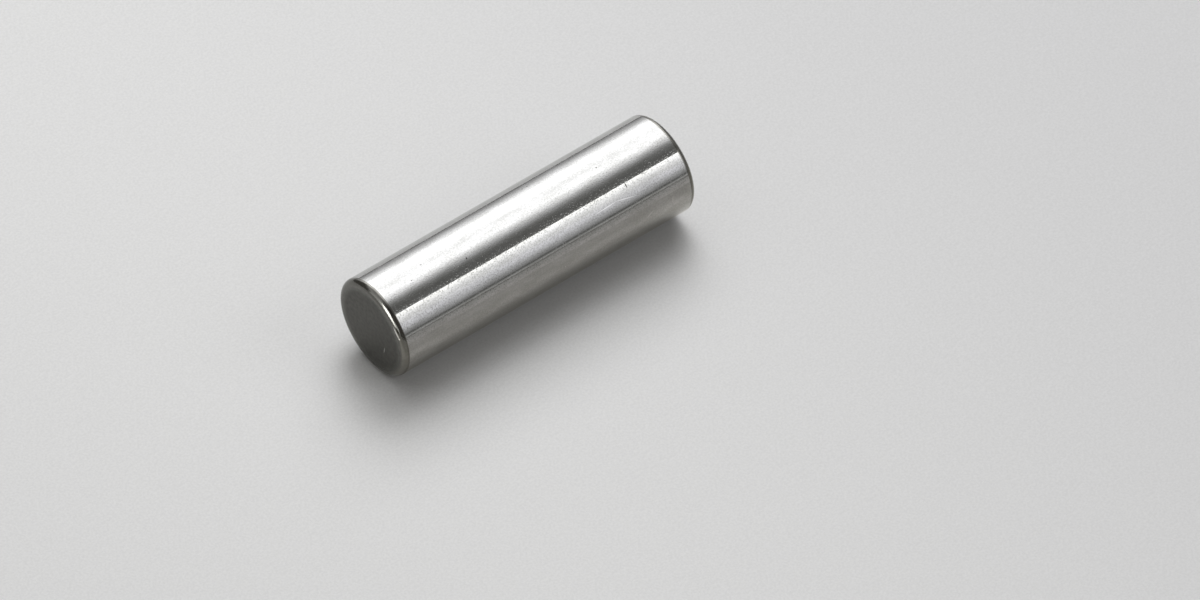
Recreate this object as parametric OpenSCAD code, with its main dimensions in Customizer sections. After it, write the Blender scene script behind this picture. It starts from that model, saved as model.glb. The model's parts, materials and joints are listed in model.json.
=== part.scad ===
// Gudgeon pin for a small model engine: a solid, hardened steel pin that joins
// the piston to the small end of the connecting rod.
// It stands on one end face, with its axis on +Z and its lower end at the origin.

/* [Shank] */
// Outside diameter of the ground shank
pin_d = 5; // [3:0.1:12]
// Overall length, from one end face to the other
pin_length = 17; // [8:0.1:60]

/* [Ends] */
// Radius that rounds the edge between the shank and each end face
edge_r = 0.3; // [0.1:0.05:0.6]

/* [Hidden] */

// Radius of the shank
pin_r = pin_d / 2;
// Radius of the flat that is left on each end face
flat_r = pin_r - edge_r;
// Straight stretch of the shank between its two rounded edges
shank_length = pin_length - 2 * edge_r;

// Facets round the shank and round each edge in a preview
shank_facets = 128;
edge_facets = 64;

// Half of the pin's lengthwise section, to the right of its axis
module half_section() {
    // Shank, out to its full radius
    translate([0, edge_r])
        square([pin_r, shank_length]);
    // Core that reaches both end faces
    square([flat_r, pin_length]);
    // Rounded edges
    for (centre_z = [edge_r, pin_length - edge_r])
        translate([flat_r, centre_z])
            circle(r = edge_r, $fn = edge_facets);
}

// The whole pin, turned from one bar
module gudgeon_pin() {
    color("silver")
        rotate_extrude($fn = shank_facets)
            half_section();
}

gudgeon_pin();
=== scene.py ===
import json
import math

import bpy
from mathutils import Matrix, Vector


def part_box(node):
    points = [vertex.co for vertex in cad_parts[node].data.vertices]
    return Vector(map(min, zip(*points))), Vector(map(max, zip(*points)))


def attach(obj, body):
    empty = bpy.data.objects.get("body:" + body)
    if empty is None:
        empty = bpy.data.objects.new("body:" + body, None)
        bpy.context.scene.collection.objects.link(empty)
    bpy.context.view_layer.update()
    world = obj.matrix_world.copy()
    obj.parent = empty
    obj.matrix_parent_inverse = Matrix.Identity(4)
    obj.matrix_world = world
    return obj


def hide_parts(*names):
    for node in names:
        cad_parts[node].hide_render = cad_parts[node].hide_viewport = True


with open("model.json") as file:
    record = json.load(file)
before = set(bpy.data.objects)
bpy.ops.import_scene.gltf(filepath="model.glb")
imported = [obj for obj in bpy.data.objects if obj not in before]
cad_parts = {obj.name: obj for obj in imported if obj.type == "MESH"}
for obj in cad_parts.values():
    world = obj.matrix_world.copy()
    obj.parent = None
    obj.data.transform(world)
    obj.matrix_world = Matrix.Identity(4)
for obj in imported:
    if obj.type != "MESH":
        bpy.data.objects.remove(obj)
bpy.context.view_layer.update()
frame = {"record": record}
print("frame loaded")

mm = 0.001
low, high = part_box("gudgeon_pin")
shankMount = next(m for m in frame["record"]["mounts"] if m["name"] == "shank")

# The pin stands on one end. It is seen lying on a table, so the table stands upright beside it.
alongPin = Vector((0, 0, 1))  # from the near end to the far end in the picture
tableUp = Vector((1, -1, 0)).normalized()  # out of the table
acrossPin = alongPin.cross(tableUp)  # along the table, towards the lower right of the picture
pinMiddle = (low + high) / 2

pin = {
    "Radius": shankMount["dims"]["r_mm"] * mm,
    "Length": high.z - low.z,
    "Edge radius": (high.z - low.z - shankMount["dims"]["length_mm"] * mm) / 2,
    "Sides": 192,
    "Shank rings": 48,
    "Edge steps": 20,
    "Face rings": 16,
}
weldWithin = 0.001 * mm  # joins the shank's end rings to the edges

# Levels that a noise texture mostly stays between, and those that hold nearly all of it
midNoise = (0.35, 0.65)
wideNoise = (0.3, 0.7)


def linear(hexColour):
    channels = [int(hexColour[i:i + 2], 16) / 255 for i in (1, 3, 5)]
    return [c / 12.92 if c <= 0.04045 else ((c + 0.055) / 1.055) ** 2.4 for c in channels] + [1.0]


# A list of sources goes to one socket that takes several
def addNode(tree, kind, values=None, links=None, **settings):
    node = tree.nodes.new(kind)
    for name, value in settings.items():
        setattr(node, name, value)
    for socket, value in (values or {}).items():
        node.inputs[socket].default_value = value
    for socket, source in (links or {}).items():
        for output in source if isinstance(source, list) else [source]:
            tree.links.new(output, node.inputs[socket])
    return node


def addMesh(name, verts, faces, material):
    mesh = bpy.data.meshes.new(name)
    mesh.from_pydata([tuple(v) for v in verts], [], faces)
    mesh.materials.append(material)
    piece = bpy.data.objects.new(name, mesh)
    bpy.context.scene.collection.objects.link(piece)
    return piece


def newMaterial(name):
    material = bpy.data.materials.new(name)
    material.use_nodes = True
    material.node_tree.nodes.clear()
    return material, material.node_tree


# A spot of the surface as (round the pin, along the pin), in metres from the line that faces acrossPin
def unroll(tree, place):
    side = addNode(tree, "ShaderNodeVectorMath", {1: acrossPin}, {0: place}, operation="DOT_PRODUCT")
    up = addNode(tree, "ShaderNodeVectorMath", {1: tableUp}, {0: place}, operation="DOT_PRODUCT")
    angle = addNode(tree, "ShaderNodeMath", links={0: up.outputs["Value"], 1: side.outputs["Value"]},
                    operation="ARCTAN2")
    arc = addNode(tree, "ShaderNodeMath", {1: pin["Radius"]}, {0: angle.outputs[0]}, operation="MULTIPLY")
    height = addNode(tree, "ShaderNodeSeparateXYZ", links={0: place})
    plane = addNode(tree, "ShaderNodeCombineXYZ", links={"X": arc.outputs[0], "Y": height.outputs["Z"]})
    return plane.outputs[0]


markDepth = 1 * mm  # keeps the marks of one end off the other
solidShare = 0.4  # a mark is solid to this share of its size, and fades out from there


# One mask for a list of small marks: each is an ellipse at a place, with half sizes and a turn
def markMask(tree, plane, marks):
    mask = None
    for (x, y), (halfX, halfY), turn in marks:
        local = addNode(tree, "ShaderNodeMapping",
                        {"Location": (x, y, 0), "Rotation": (0, 0, math.radians(turn)),
                         "Scale": (halfX, halfY, markDepth)}, {"Vector": plane}, vector_type="TEXTURE")
        away = addNode(tree, "ShaderNodeVectorMath", links={0: local.outputs[0]}, operation="LENGTH")
        one = addNode(tree, "ShaderNodeMapRange", {"From Min": 1.0, "From Max": solidShare},
                      {"Value": away.outputs["Value"]}).outputs[0]
        if mask is None:
            mask = one
        else:
            mask = addNode(tree, "ShaderNodeMath", links={0: mask, 1: one}, operation="MAXIMUM").outputs[0]
    return mask


def onShank(degrees, along):
    return math.radians(degrees) * pin["Radius"], along * mm


# Hardened bearing steel, ground round and polished: mirror bright, with a fine grain left by the wheel.
# The wheel's marks, the grain and the pits are drawn coarser than the real ones, so that they show.
groundSteel = {
    "colour": "#B3B3B3",
    "tarnish": "#A7A7A6",
    "tarnishPatch": 0.3 * mm,  # across, and drawn out along the pin
    "tarnishRun": 1.2 * mm,
    "roughness": (0.035, 0.06),
    "wheelMark": 0.10 * mm,  # spacing of the marks along the pin
    "wheelMarkRun": 0.8 * mm,  # how far a mark runs round the pin
    "grain": 0.11 * mm,
    "relief": 0.0005 * mm,
    "pit": 0.07 * mm,
    "pitFrom": (0.60, 0.72),  # levels of the noise at which a pit starts and is deepest
    "pitDepth": 0.0014 * mm,
    "pitShade": (1.08, 0.89),  # level of the colour from the high spots to the pits
    "darkMarks": [
        (onShank(51.5, 13.57), (0.17 * mm, 0.04 * mm), 0),
        (onShank(84.5, 12.88), (0.04 * mm, 0.05 * mm), 0),
        (onShank(68.5, 4.82), (0.06 * mm, 0.04 * mm), 30),
        (onShank(77.8, 1.94), (0.03 * mm, 0.04 * mm), 0),
        (onShank(88.5, 2.84), (0.03 * mm, 0.05 * mm), 0),
        (onShank(112.0, 9.48), (0.04 * mm, 0.04 * mm), 0),
        (onShank(111.2, 9.74), (0.05 * mm, 0.03 * mm), 0),
    ],
    "lightMarks": [
        (onShank(41.1, 12.14), (0.025 * mm, 0.75 * mm), -2.5),
        (onShank(39.0, 13.32), (0.025 * mm, 0.65 * mm), 12.7),
        (onShank(2.5, 9.32), (0.07 * mm, 0.03 * mm), 0),
        (onShank(7.0, 14.27), (0.025 * mm, 0.28 * mm), -27),
        (onShank(9.9, 15.62), (0.022 * mm, 0.21 * mm), -79),
    ],
    "markColours": ("#2A2926", "#D2D2D1"),
}


def makeGroundSteel(look):
    material, tree = newMaterial("groundHardenedSteel")
    place = addNode(tree, "ShaderNodeTexCoord").outputs["Object"]
    plane = unroll(tree, place)
    run, pitch = 1 / look["wheelMarkRun"], 1 / look["wheelMark"]
    stretched = addNode(tree, "ShaderNodeMapping", {"Scale": (run, run, pitch)}, {"Vector": place})
    marks = addNode(tree, "ShaderNodeTexNoise", {"Scale": 1.0, "Detail": 3.0, "Roughness": 0.6},
                    {"Vector": stretched.outputs["Vector"]})
    grain = addNode(tree, "ShaderNodeTexNoise", {"Scale": 1 / look["grain"], "Detail": 2.0, "Roughness": 0.6},
                    {"Vector": place})
    wide, long = 1 / look["tarnishPatch"], 1 / look["tarnishRun"]
    drawnOut = addNode(tree, "ShaderNodeMapping", {"Scale": (wide, wide, long)}, {"Vector": place})
    patch = addNode(tree, "ShaderNodeTexNoise", {"Scale": 1.0, "Detail": 4.0},
                    {"Vector": drawnOut.outputs["Vector"]})
    cells = addNode(tree, "ShaderNodeTexNoise", {"Scale": 1 / look["pit"], "Detail": 1.0}, {"Vector": place})
    starts, deepest = look["pitFrom"]
    pits = addNode(tree, "ShaderNodeMapRange", {"From Min": starts, "From Max": deepest},
                   {"Value": cells.outputs[0]}, interpolation_type="SMOOTHSTEP")
    height = addNode(tree, "ShaderNodeMath", {1: -look["pitDepth"] / look["relief"]},
                     {0: pits.outputs[0], 2: grain.outputs[0]}, operation="MULTIPLY_ADD")
    bump = addNode(tree, "ShaderNodeBump", {"Strength": 1.0, "Distance": look["relief"]},
                   {"Height": height.outputs[0]})
    worn = addNode(tree, "ShaderNodeMapRange", {"From Min": midNoise[0], "From Max": midNoise[1]},
                   {"Value": patch.outputs[0]})
    shade = addNode(tree, "ShaderNodeMix", {6: linear(look["colour"]), 7: linear(look["tarnish"])},
                    {0: worn.outputs[0]}, data_type="RGBA")
    bright, dull = look["pitShade"]
    level = addNode(tree, "ShaderNodeMapRange",
                    {"From Min": midNoise[0], "From Max": midNoise[1], "To Min": bright, "To Max": dull},
                    {"Value": cells.outputs[0]})
    grainy = addNode(tree, "ShaderNodeVectorMath", links={0: shade.outputs[2], "Scale": level.outputs[0]},
                     operation="SCALE")
    dark, light = (linear(c) for c in look["markColours"])
    nicked = addNode(tree, "ShaderNodeMix", {7: dark},
                     {0: markMask(tree, plane, look["darkMarks"]), 6: grainy.outputs[0]}, data_type="RGBA")
    rubbed = addNode(tree, "ShaderNodeMix", {7: light},
                     {0: markMask(tree, plane, look["lightMarks"]), 6: nicked.outputs[2]}, data_type="RGBA")
    smooth, coarse = look["roughness"]
    rough = addNode(tree, "ShaderNodeMapRange",
                    {"From Min": wideNoise[0], "From Max": wideNoise[1], "To Min": smooth, "To Max": coarse},
                    {"Value": marks.outputs[0]})
    skin = addNode(tree, "ShaderNodeBsdfPrincipled", {"Metallic": 1.0},
                   {"Base Color": rubbed.outputs[2], "Roughness": rough.outputs[0],
                    "Normal": bump.outputs[0]})
    addNode(tree, "ShaderNodeOutputMaterial", links={"Surface": skin.outputs[0]})
    return material


# The same steel where no wheel has touched it: a dark grey skin from the hardening furnace,
# matt on the face and rubbed smoother round the edge
furnaceSkin = {
    "face": ("#41413D", "#6C6B67"),
    "edge": ("#6C6B67", "#85847F"),
    "edgeFrom": (1.85 * mm, 2.3 * mm),  # distances from the axis between which the face turns into the edge
    "roughness": (0.42, 0.18),  # of the face and of the edge
    "mottle": 0.2 * mm,
    "grain": 0.09 * mm,
    "relief": 0.0012 * mm,
    # marks are placed across and up on the near face
    # the dark mark is a darker patch inside the loop of light marks on the edge: painted dark reflection
    "darkMarks": [((1.89 * mm, 1.44 * mm), (0.055 * mm, 0.24 * mm), 37)],
    "lightMarks": [
        ((0.96 * mm, -0.60 * mm), (0.015 * mm, 0.25 * mm), -8),
        ((1.865 * mm, 1.328 * mm), (0.05 * mm, 0.40 * mm), 39.2),
        ((2.07 * mm, 1.075 * mm), (0.04 * mm, 0.06 * mm), 39),
    ],
    "markColours": ("#45443F", "#F0EEEA"),
}


def makeFurnaceSkin(look):
    material, tree = newMaterial("furnaceDarkenedSteel")
    place = addNode(tree, "ShaderNodeTexCoord").outputs["Object"]
    mottle = addNode(tree, "ShaderNodeTexNoise", {"Scale": 1 / look["mottle"], "Detail": 4.0},
                     {"Vector": place})
    grain = addNode(tree, "ShaderNodeTexNoise", {"Scale": 1 / look["grain"], "Detail": 2.0},
                    {"Vector": place})
    flat = addNode(tree, "ShaderNodeVectorMath", {1: (1, 1, 0)}, {0: place}, operation="MULTIPLY")
    fromAxis = addNode(tree, "ShaderNodeVectorMath", links={0: flat.outputs[0]}, operation="LENGTH")
    inner, outer = look["edgeFrom"]
    edge = addNode(tree, "ShaderNodeMapRange", {"From Min": inner, "From Max": outer},
                   {"Value": fromAxis.outputs["Value"]}, interpolation_type="SMOOTHSTEP")
    tones = [addNode(tree, "ShaderNodeMix", {6: linear(look[part][0]), 7: linear(look[part][1])},
                     {0: mottle.outputs[0]}, data_type="RGBA").outputs[2] for part in ("face", "edge")]
    shade = addNode(tree, "ShaderNodeMix", links={0: edge.outputs[0], 6: tones[0], 7: tones[1]},
                    data_type="RGBA")
    side = addNode(tree, "ShaderNodeVectorMath", {1: acrossPin}, {0: place}, operation="DOT_PRODUCT")
    up = addNode(tree, "ShaderNodeVectorMath", {1: tableUp}, {0: place}, operation="DOT_PRODUCT")
    height = addNode(tree, "ShaderNodeSeparateXYZ", links={0: place})
    plane = addNode(tree, "ShaderNodeCombineXYZ", links={"X": side.outputs["Value"], "Y": up.outputs["Value"],
                                                         "Z": height.outputs["Z"]}).outputs[0]
    dark, light = (linear(c) for c in look["markColours"])
    # painted dark reflection inside the loop on the edge
    paintedDarkReflection = addNode(tree, "ShaderNodeMix", {7: dark},
                      {0: markMask(tree, plane, look["darkMarks"]), 6: shade.outputs[2]}, data_type="RGBA")
    scuffed = addNode(tree, "ShaderNodeMix", {7: light},
                      {0: markMask(tree, plane, look["lightMarks"]), 6: paintedDarkReflection.outputs[2]}, data_type="RGBA")
    matt, polished = look["roughness"]
    rough = addNode(tree, "ShaderNodeMapRange", {"To Min": matt, "To Max": polished},
                    {"Value": edge.outputs[0]})
    bump = addNode(tree, "ShaderNodeBump", {"Strength": 1.0, "Distance": look["relief"]},
                   {"Height": grain.outputs[0]})
    skin = addNode(tree, "ShaderNodeBsdfPrincipled", {"Metallic": 1.0},
                   {"Base Color": scuffed.outputs[2], "Roughness": rough.outputs[0],
                    "Normal": bump.outputs[0]})
    addNode(tree, "ShaderNodeOutputMaterial", links={"Surface": skin.outputs[0]})
    return material


def makeLathe(shankSteel, endSteel):
    tree = bpy.data.node_groups.new("pinLathe", "GeometryNodeTree")
    for name, size in pin.items():
        kind = "NodeSocketInt" if isinstance(size, int) else "NodeSocketFloat"
        tree.interface.new_socket(name=name, in_out="INPUT", socket_type=kind)
    tree.interface.new_socket(name="Geometry", in_out="OUTPUT", socket_type="NodeSocketGeometry")
    sizes = addNode(tree, "NodeGroupInput").outputs
    edgeRadius = sizes["Edge radius"]
    turn = addNode(tree, "GeometryNodeCurvePrimitiveCircle",
                   links={"Resolution": sizes["Sides"], "Radius": sizes["Radius"]}, mode="RADIUS")

    def line(start, end, count):
        straight = addNode(tree, "GeometryNodeCurvePrimitiveLine", links={"Start": start, "End": end})
        return addNode(tree, "GeometryNodeResampleCurve",
                       links={"Curve": straight.outputs[0], "Count": count}, mode="COUNT").outputs[0]

    def sweep(profile):
        skin = addNode(tree, "GeometryNodeCurveToMesh",
                       links={"Curve": turn.outputs[0], "Profile Curve": profile})
        return addNode(tree, "GeometryNodeTransform", {"Rotation": (math.pi, 0, 0)},
                       {"Geometry": skin.outputs[0]}).outputs[0]

    # profiles are drawn from the shank's line: x is 0 there and minus the radius on the axis
    inward, toAxis = [addNode(tree, "ShaderNodeMath", {1: -1.0}, {0: size}, operation="MULTIPLY").outputs[0]
                      for size in (edgeRadius, sizes["Radius"])]
    shankTop = addNode(tree, "ShaderNodeMath", links={0: sizes["Length"], 1: edgeRadius},
                       operation="SUBTRACT").outputs[0]
    spots = {
        "shankFoot": {"Y": edgeRadius},
        "shankHead": {"Y": shankTop},
        "faceMiddle": {"X": toAxis},
        "faceRim": {"X": inward},
        "edgeMiddle": {"X": inward, "Y": edgeRadius},
        "farFace": {"Z": sizes["Length"]},
    }
    at = {name: addNode(tree, "ShaderNodeCombineXYZ", links=spot).outputs[0] for name, spot in spots.items()}
    shank = sweep(line(at["shankFoot"], at["shankHead"], sizes["Shank rings"]))

    # one end, drawn from the axis out to the shank, and the same end turned over
    face = line(at["faceMiddle"], at["faceRim"], sizes["Face rings"])
    arc = addNode(tree, "GeometryNodeCurveArc", {"Start Angle": -math.pi / 2, "Sweep Angle": math.pi / 2},
                  {"Resolution": sizes["Edge steps"], "Radius": edgeRadius}, mode="RADIUS")
    edge = addNode(tree, "GeometryNodeTransform",
                   links={"Geometry": arc.outputs[0], "Translation": at["edgeMiddle"]})
    outline = addNode(tree, "GeometryNodeJoinGeometry", links={0: [face, edge.outputs[0]]})
    end = sweep(outline.outputs[0])
    farEnd = addNode(tree, "GeometryNodeTransform", {"Rotation": (math.pi, 0, 0)},
                     {"Geometry": end, "Translation": at["farFace"]})
    whole = addNode(tree, "GeometryNodeJoinGeometry", links={0: [shank, end, farEnd.outputs[0]]})
    welded = addNode(tree, "GeometryNodeMergeByDistance", {"Distance": weldWithin},
                     {"Geometry": whole.outputs[0]})
    smooth = addNode(tree, "GeometryNodeSetShadeSmooth", links={"Geometry": welded.outputs[0]})
    real = addNode(tree, "GeometryNodeRealizeInstances", links={"Geometry": smooth.outputs[0]})

    # the faces between the two rounded edges are the shank
    position = addNode(tree, "GeometryNodeInputPosition").outputs[0]
    height = addNode(tree, "ShaderNodeSeparateXYZ", links={0: position}).outputs["Z"]
    above = addNode(tree, "ShaderNodeMath", links={0: height, 1: edgeRadius}, operation="GREATER_THAN")
    below = addNode(tree, "ShaderNodeMath", links={0: height, 1: shankTop}, operation="LESS_THAN")
    ground = addNode(tree, "ShaderNodeMath", links={0: above.outputs[0], 1: below.outputs[0]},
                     operation="MULTIPLY")
    dark = addNode(tree, "GeometryNodeSetMaterial", {"Material": endSteel}, {"Geometry": real.outputs[0]})
    bright = addNode(tree, "GeometryNodeSetMaterial", {"Material": shankSteel},
                     {"Geometry": dark.outputs[0], "Selection": ground.outputs[0]})
    addNode(tree, "NodeGroupOutput", links={"Geometry": bright.outputs[0]})
    return tree


def makePin():
    tree = makeLathe(makeGroundSteel(groundSteel), makeFurnaceSkin(furnaceSkin))
    blank = bpy.data.objects.new("pinBlank", bpy.data.meshes.new("pinBlank"))
    bpy.context.scene.collection.objects.link(blank)
    lathe = blank.modifiers.new("lathe", "NODES")
    lathe.node_group = tree
    for socket in tree.interface.items_tree:
        if socket.in_out == "INPUT":
            lathe[socket.identifier] = pin[socket.name]
    graph = bpy.context.evaluated_depsgraph_get()
    mesh = bpy.data.meshes.new_from_object(blank.evaluated_get(graph), depsgraph=graph)
    mesh.name = "groundPin"
    piece = bpy.data.objects.new("groundPin", mesh)
    bpy.context.scene.collection.objects.link(piece)
    bpy.data.objects.remove(blank)
    return piece


groundPin = makePin()
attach(groundPin, "root")
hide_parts("gudgeon_pin")
print("pin turned:", len(groundPin.data.polygons), "faces")

# Pale satin laminate, seen only from its front, with a painted falloff of light that makes it a little darker
# towards the far end of the pin
board = {
    "colour": "#D6D6D6",
    # painted falloff of light: the colour it darkens to towards the far end of the pin
    "paintedFalloffColour": "#C3C3C4",
    "paintedFalloffFrom": (-6.5 * mm, 48.5 * mm),  # places along the pin between which it darkens
    "roughness": 0.4,
    "grain": 0.2 * mm,
    "relief": 0.0015 * mm,
    "fleck": 0.11 * mm,
    "fleckDepth": (0.96, 1.04),
    # painted reflection: the tones the pin mirrors of it, by mm across from the pin's axis, a little darker
    # and warmer
    "paintedReflection": [(0, "#C8C8C7"), (2.5, "#DFDDD7"), (4.6, "#D3D0CA"), (7, "#B4B1AB"), (12.5, "#B3B0AA"),
                 (14, "#C8C5C0"), (26, "#BDBBB6"), (69, "#B1AFAA")],
    # in front of the pin it has a painted sheen of window light, which the near end mirrors
    "paintedWindowSheen": [(0, "#CBCBCA"), (1, "#CECECC"), (1.9, "#FBF9F4"), (4, "#F4F2EC"), (7, "#D0CEC8"),
                      (100, "#C8C6C0")],
    "mirroredReach": 100,  # mm across, past which the last tone holds
}


def makeBoard(name, look, tones):
    material, tree = newMaterial(name)
    place = addNode(tree, "ShaderNodeTexCoord").outputs["Object"]
    grain = addNode(tree, "ShaderNodeTexNoise", {"Scale": 1 / look["grain"], "Detail": 3.0},
                    {"Vector": place})
    bump = addNode(tree, "ShaderNodeBump", {"Strength": 1.0, "Distance": look["relief"]},
                   {"Height": grain.outputs[0]})
    along = addNode(tree, "ShaderNodeVectorMath", {1: alongPin}, {0: place}, operation="DOT_PRODUCT")
    # painted falloff of light along the pin
    starts, ends = look["paintedFalloffFrom"]
    shaded = addNode(tree, "ShaderNodeMapRange", {"From Min": starts, "From Max": ends},
                     {"Value": along.outputs["Value"]}, interpolation_type="SMOOTHSTEP")
    shade = addNode(tree, "ShaderNodeMix", {6: linear(look["colour"]), 7: linear(look["paintedFalloffColour"])},
                    {0: shaded.outputs[0]}, data_type="RGBA")
    flecks = addNode(tree, "ShaderNodeTexNoise", {"Scale": 1 / look["fleck"], "Detail": 1.0},
                     {"Vector": place})
    deep, shallow = look["fleckDepth"]
    level = addNode(tree, "ShaderNodeMapRange",
                    {"From Min": wideNoise[0], "From Max": wideNoise[1], "To Min": deep, "To Max": shallow},
                    {"Value": flecks.outputs[0]})
    flecked = addNode(tree, "ShaderNodeVectorMath", links={0: shade.outputs[2], "Scale": level.outputs[0]},
                      operation="SCALE")
    across = addNode(tree, "ShaderNodeVectorMath", {1: acrossPin}, {0: place}, operation="DOT_PRODUCT")
    share = addNode(tree, "ShaderNodeMath", {1: look["mirroredReach"] * mm}, {0: across.outputs["Value"]},
                    operation="DIVIDE")
    paintedReflection = addNode(tree, "ShaderNodeValToRGB", links={0: share.outputs[0]})
    stops = paintedReflection.color_ramp.elements
    for distance, colour in tones:
        stops.new(distance / look["mirroredReach"]).color = linear(colour)
    stops.remove(stops[-1])
    stops.remove(stops[0])
    # glossy rays see the painted reflection tones in place of its own colour
    glossy = addNode(tree, "ShaderNodeLightPath").outputs["Is Glossy Ray"]
    toned = addNode(tree, "ShaderNodeMix", links={0: glossy, 6: flecked.outputs[0], 7: paintedReflection.outputs[0]},
                    data_type="RGBA")
    laminate = addNode(tree, "ShaderNodeBsdfPrincipled", {"Roughness": look["roughness"]},
                       {"Base Color": toned.outputs[2], "Normal": bump.outputs[0]})
    behind = addNode(tree, "ShaderNodeNewGeometry").outputs["Backfacing"]
    clear = addNode(tree, "ShaderNodeBsdfTransparent")
    oneSided = addNode(tree, "ShaderNodeMixShader",
                       links={0: behind, 1: laminate.outputs[0], 2: clear.outputs[0]})
    addNode(tree, "ShaderNodeOutputMaterial", links={"Surface": oneSided.outputs[0]})
    return material


paleBoard = makeBoard("paleSatinLaminate", board, board["paintedReflection"])
sheenBoard = makeBoard("paleSatinLaminatePaintedSheen", board, board["paintedWindowSheen"])
table = {  # from the pin's middle, and the middle pairs bound the strip that the pin covers
    "across": (-31.5 * mm, -4.8 * mm, 1.2 * mm, 280 * mm),
    "along": (-150 * mm, -8.2 * mm, 8.2 * mm, 90 * mm),
}
floor = {"reach": 300 * mm, "drop": 0.02 * mm}
oneFace = [(0, 1, 2, 3)]


def onTable(across, up, along):
    return pinMiddle + acrossPin * across + tableUp * up + alongPin * along


# Faces between two rows of the table's corners, each given by its first corner
def tableFaces(*firstCorners):
    row = len(table["across"])
    return [(i, i + 1, i + row + 1, i + row) for i in firstCorners]


# The front is the first row of faces. The top is the rows after it, with a gap that the strip fills.
corners = [onTable(x, -pin["Radius"], z) for z in table["along"] for x in table["across"]]
# the front board shows the painted sheen of window light to glossy rays
tableFront = addMesh("tableFront", corners[:8], tableFaces(0, 1, 2), sheenBoard)
tableTop = addMesh("tableTop", corners[4:], tableFaces(0, 2, 4, 5, 6), paleBoard)
tableStrip = addMesh("tableStrip", [corners[i] for i in (5, 6, 10, 9)], oneFace, paleBoard)
tableStrip.visible_glossy = False  # lets the back of the pin mirror the cloth behind it
reach = floor["reach"]
floorCorners = [(-reach, -reach), (reach, -reach), (reach, reach), (-reach, reach)]
floorBoard = addMesh("floorBoard", [(x, y, -floor["drop"]) for x, y in floorCorners], oneFace, paleBoard)
floorBoard.visible_glossy = False
floorBoard.visible_diffuse = False
for piece in (tableFront, tableTop, tableStrip, floorBoard):
    piece.visible_shadow = False
print("stage set")

# Lit cloths bent round the pin, with places in metres.
# Each glow is (degrees round the pin from acrossPin, level) and, where the light isn't grey, a tint to blue.
# A cloth that doesn't light the table is only mirrored, and is dark after so many bounces.
tent = {"radius": 0.30, "strips": 48}
softBox = {
    "glow": [(55.3, 0.25, -0.02), (67, 0.19, -0.02), (73, 0.24, -0.02), (78, 0.36, -0.01), (84, 0.68),
             (88.5, 1.1), (93, 1.55), (97.5, 1.95), (102, 2.35), (106.7, 2.5), (111.4, 2.5), (116.2, 2.4),
             (121.2, 2.25), (126.4, 2.35), (131.6, 2.55), (137, 2.8), (146, 2.8)],
    "along": (-0.30, 0.36),
    "fade": (-0.03, 0.0, 0.28),  # heights from the near end where a fade starts and ends, and the level below
    "lightsTable": True,
}
softBoxFoot = {
    "glow": [(146, 2.8), (152, 2.8), (156, 2.25), (162.5, 1.65), (170, 1.08), (178, 0.66), (186, 0.36)],
    "along": (-0.05, 0.36),
    "fade": (-0.02, 0.03, 0.1),
    "lightsTable": False,
    "bounces": 2,
}
sideCard = {
    "glow": [(0.2, 0.5, -0.02), (3.2, 0.52, -0.02), (4.9, 0.32, -0.02), (5.8, 0.17, -0.02),
             (7.6, 0.17, -0.02), (8.8, 0.33, -0.01), (11, 0.44), (15.6, 0.62), (20, 0.86, 0.01),
             (24.5, 1.08, 0.014), (29, 1.25, 0.014), (33, 1.36, 0.01), (37.4, 1.46), (41.6, 1.67),
             (46, 2.0), (50, 2.35, -0.01), (54.9, 2.6, -0.015)],
    "along": (0.075, 0.30),
    "fade": (0.075, 0.095, 0.1),
    "lightsTable": True,
}
backCloth = {
    "glow": [(222, 0.3), (240, 0.7), (255, 1.4), (270, 1.9), (285, 1.4), (300, 0.7), (318, 0.3)],
    "along": (-0.30, 0.20),
    "fade": (-0.30, -0.20, 0.6),
    "lightsTable": False,
    "bounces": 1,
}


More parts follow.
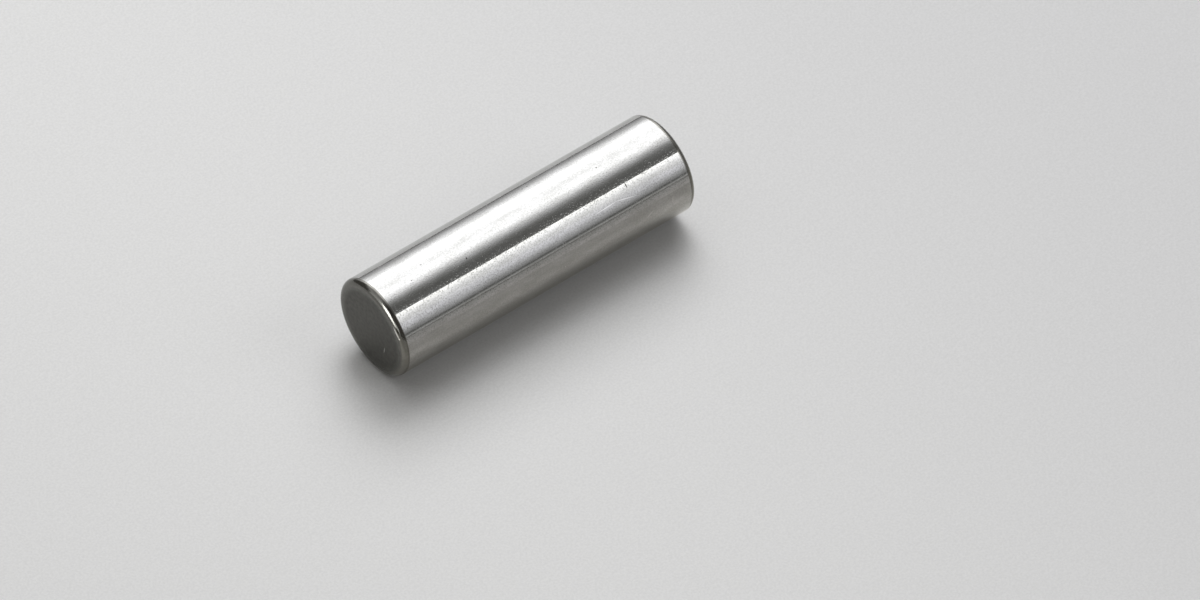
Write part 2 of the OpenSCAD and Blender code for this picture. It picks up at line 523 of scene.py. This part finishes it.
def makeCloth(name, look):
    material, tree = newMaterial(name + "Cloth")
    place = addNode(tree, "ShaderNodeTexCoord").outputs["Object"]
    # the angle is taken from the far side and half a turn is added, so that the share runs from 0 to 1
    side = addNode(tree, "ShaderNodeVectorMath", {1: -acrossPin}, {0: place}, operation="DOT_PRODUCT")
    up = addNode(tree, "ShaderNodeVectorMath", {1: -tableUp}, {0: place}, operation="DOT_PRODUCT")
    angle = addNode(tree, "ShaderNodeMath", links={0: up.outputs["Value"], 1: side.outputs["Value"]},
                    operation="ARCTAN2")
    share = addNode(tree, "ShaderNodeMath", {1: 1 / (2 * math.pi), 2: 0.5}, {0: angle.outputs[0]},
                    operation="MULTIPLY_ADD")
    glow = addNode(tree, "ShaderNodeValToRGB", links={0: share.outputs[0]})
    brightest = max(stop[1] for stop in look["glow"])
    stops = glow.color_ramp.elements
    for degrees, level, *blue in look["glow"]:
        tint = blue[0] if blue else 0.0
        stop = stops.new(degrees / 360)
        stop.color = [level / brightest * t for t in (1 - tint, 1 - tint, 1 + tint)] + [1]
    stops.remove(stops[-1])
    stops.remove(stops[0])
    along = addNode(tree, "ShaderNodeSeparateXYZ", links={0: place})
    fadeFrom, fadeTo, fadeLevel = look["fade"]
    fade = addNode(tree, "ShaderNodeMapRange",
                   {"From Min": fadeFrom, "From Max": fadeTo, "To Min": fadeLevel},
                   {"Value": along.outputs["Z"]})
    power = addNode(tree, "ShaderNodeMath", {1: brightest}, {0: fade.outputs[0]}, operation="MULTIPLY")
    if not look["lightsTable"]:
        depth = addNode(tree, "ShaderNodeLightPath").outputs["Ray Depth"]
        early = addNode(tree, "ShaderNodeMath", {1: look["bounces"] + 0.5}, {0: depth}, operation="LESS_THAN")
        power = addNode(tree, "ShaderNodeMath", links={0: power.outputs[0], 1: early.outputs[0]},
                        operation="MULTIPLY")
        material.cycles.emission_sampling = "NONE"
    lamp = addNode(tree, "ShaderNodeEmission", links={"Color": glow.outputs[0], "Strength": power.outputs[0]})
    addNode(tree, "ShaderNodeOutputMaterial", links={"Surface": lamp.outputs[0]})
    first, last = look["glow"][0][0], look["glow"][-1][0]
    radius, strips = tent["radius"], tent["strips"]
    verts = []
    for i in range(strips + 1):
        turn = math.radians(first + (last - first) * i / strips)
        for end in look["along"]:
            verts.append(onTable(math.cos(turn) * radius, math.sin(turn) * radius, end))
    faces = [(2 * i, 2 * i + 1, 2 * i + 3, 2 * i + 2) for i in range(strips)]
    cloth = addMesh(name, verts, faces, material)
    cloth.visible_camera = False
    cloth.visible_diffuse = look["lightsTable"]


windowPanes = [  # across, up, along, level
    ((-0.23, -0.045), (0.0, 0.28), -0.30, 1.0),
    ((-0.045, 0.09), (0.0, 0.21), -0.30, 7.5),
    ((0.09, 0.28), (0.03, 0.11), -0.30, 2.0),
    ((-0.35, 0.35), (0.0, 0.40), 0.37, 0.38),
]


# The windows light the pin alone, so that their glare stays off the boards
def makeWindows(panes):
    lit = bpy.data.collections.new("litByWindows")
    lit.objects.link(groundPin)
    for (left, right), (bottom, top), along, level in panes:
        material, tree = newMaterial("windowGlow")
        lamp = addNode(tree, "ShaderNodeEmission", {"Strength": level})
        addNode(tree, "ShaderNodeOutputMaterial", links={"Surface": lamp.outputs[0]})
        outline = [(left, bottom), (right, bottom), (right, top), (left, top)]
        pane = addMesh("windowPane", [onTable(x, y, along) for x, y in outline], oneFace, material)
        pane.visible_camera = False
        pane.visible_diffuse = False
        pane.light_linking.receiver_collection = lit


keyLamp = {"round": 122, "away": 0.28, "along": 0.10, "size": (0.17, 0.14), "watts": 0.25}


# The lamp that draws the shadow. It hangs just inside the cloths, and nothing mirrors it.
def makeKeyLamp(look):
    data = bpy.data.lights.new("keyLamp", "AREA")
    data.shape = "RECTANGLE"
    data.size, data.size_y = look["size"]
    data.energy = look["watts"]
    lamp = bpy.data.objects.new("keyLamp", data)
    turn = math.radians(look["round"])
    place = onTable(math.cos(turn) * look["away"], math.sin(turn) * look["away"], look["along"])
    aim = (place - pinMiddle).to_track_quat("Z", "Y")
    lamp.matrix_world = Matrix.Translation(place) @ aim.to_matrix().to_4x4()
    lamp.visible_camera = False
    lamp.visible_glossy = False
    bpy.context.scene.collection.objects.link(lamp)


cloths = {"softBox": softBox, "softBoxFoot": softBoxFoot, "sideCard": sideCard, "backCloth": backCloth}
for name, look in cloths.items():
    makeCloth(name, look)
makeWindows(windowPanes)
makeKeyLamp(keyLamp)

# The studio beyond the cloths is dim, and pale where the camera looks past the boards
studio = {"dim": "#6B6965", "pale": "#CBCBCB"}
world = bpy.data.worlds.new("dimStudio")
bpy.context.scene.world = world
world.use_nodes = True
world.cycles.sampling_method = "NONE"
room = world.node_tree
seen = addNode(room, "ShaderNodeLightPath").outputs["Is Camera Ray"]
tone = addNode(room, "ShaderNodeMix", {6: linear(studio["dim"]), 7: linear(studio["pale"])}, {0: seen},
               data_type="RGBA")
room.links.new(tone.outputs[2], room.nodes["Background"].inputs["Color"])
print("lights set")

# A long lens that looks down on the table
view = {
    "imageWidth": 1200,
    "imageHeight": 600,
    "pinPixel": (518.0, 244.8),  # where the middle of the pin is in the picture
    "pixelsPerDiameter": 108.9,
    "lookDown": 47.5,
    "pinTurn": 38.2,  # from the picture's horizontal
    "distance": 0.65,
    "sensorWidth": 36,  # mm, as the lens is
    "clip": (0.01, 5),
}


def makeCamera():
    turn, down = math.radians(view["pinTurn"]), math.radians(view["lookDown"])
    right = alongPin * math.cos(turn) + acrossPin * math.sin(turn)
    away = alongPin * math.sin(turn) - acrossPin * math.cos(turn)
    look = away * math.cos(down) - tableUp * math.sin(down)
    up = right.cross(look)
    pixel = 2 * pin["Radius"] / view["pixelsPerDiameter"]
    x = (view["pinPixel"][0] - view["imageWidth"] / 2) * pixel
    y = (view["imageHeight"] / 2 - view["pinPixel"][1]) * pixel
    eye = pinMiddle - look * view["distance"] - right * x - up * y
    data = bpy.data.cameras.new("longLens")
    data.sensor_width = view["sensorWidth"]
    data.lens = view["sensorWidth"] * view["distance"] / (pixel * view["imageWidth"])
    data.clip_start, data.clip_end = view["clip"]
    camera = bpy.data.objects.new("longLens", data)
    camera.matrix_world = Matrix.Translation(eye) @ Matrix((right, up, -look)).transposed().to_4x4()
    bpy.context.scene.collection.objects.link(camera)
    bpy.context.scene.camera = camera


makeCamera()
bpy.context.scene.view_settings.view_transform = "Standard"
print("camera set")
